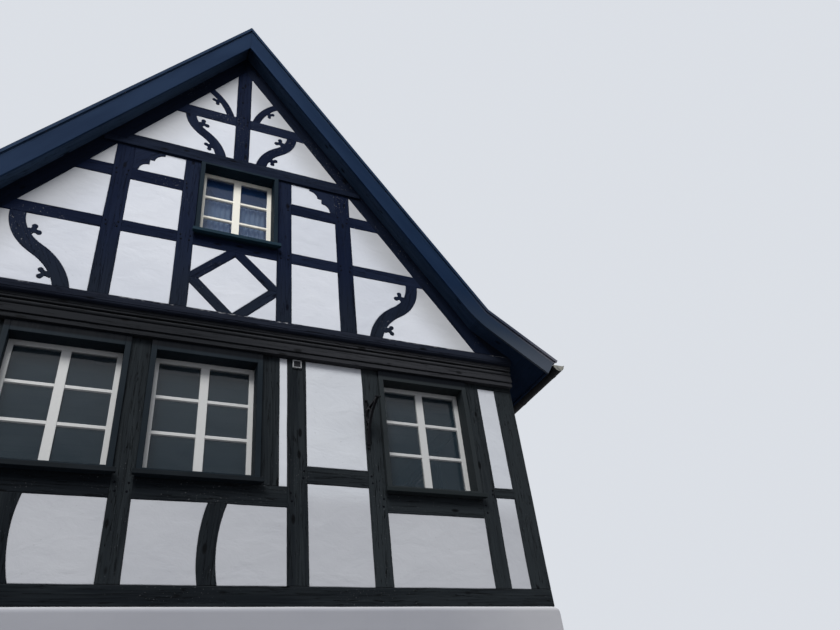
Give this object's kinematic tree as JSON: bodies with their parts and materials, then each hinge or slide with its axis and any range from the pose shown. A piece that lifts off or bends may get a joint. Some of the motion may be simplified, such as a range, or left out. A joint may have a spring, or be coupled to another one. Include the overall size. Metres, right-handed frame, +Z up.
{
  "type": "half timbered house",
  "caption": "Narrow half timbered house with a rendered ground floor, a jettied gable with cusped curved braces and a steep roof with kicked eaves.",
  "frame": {"origin": "centre of the footprint at ground level, under the middle of the roof", "axes": "+X to the right along the street gable seen from the street, +Y from the street into the house, +Z up"},
  "size_m": [8.2154, 9.8, 11.3038],
  "materials": {
    "render": "lime render, painted white",
    "plaster": "smooth lime plaster, painted white",
    "floor": "worn boards",
    "paving": "flagged floor",
    "timber": "dark stained, hewn",
    "gable_timber": "painted dark blue grey",
    "rough_timber": "sawn, bare",
    "casing": "painted dark green",
    "window_white": "painted off white",
    "glass": "clear, reflecting",
    "tile": "weathered plain tiles",
    "gutter": "pale, matt",
    "iron": "forged, blackened"
  },
  "bodies": {
    "root": {"ground_front_wall": "render", "ground_back_wall": "render", "ground_left_wall": "render", "ground_right_wall": "render", "ground_floor": "paving", "upper_floor": "floor", "attic_floor": "rough_timber", "sill_beams": "timber", "corner_posts": "timber", "wall_posts": "timber", "wall_rails": "timber", "wall_braces": "timber", "wall_fields": "plaster", "wall_plates": "timber", "cornices": "timber", "gable_sills": "gable_timber", "gable_rafters": "gable_timber", "gable_posts": "gable_timber", "gable_rails": "gable_timber", "collar_beams": "gable_timber", "cusped_braces": "gable_timber", "knee_brackets": "gable_timber", "diamond_braces": "gable_timber", "gable_fields": "plaster", "window_casings": "casing", "window_sills": "casing", "window_frames": "window_white", "window_glass": "glass", "door_frame": "casing", "door_leaf": "casing", "rafters": "rough_timber", "sprockets": "rough_timber", "eave_fillets": "rough_timber", "collar_ties": "rough_timber", "roof_boards": "rough_timber", "roof_tiles": "tile", "ridge_cap": "tile", "bargeboards": "gable_timber", "soffits": "gable_timber", "fascias": "gable_timber", "gutters": "gutter", "iron_bracket": "iron", "wall_vent": "gutter"}
  },
  "joints": []
}
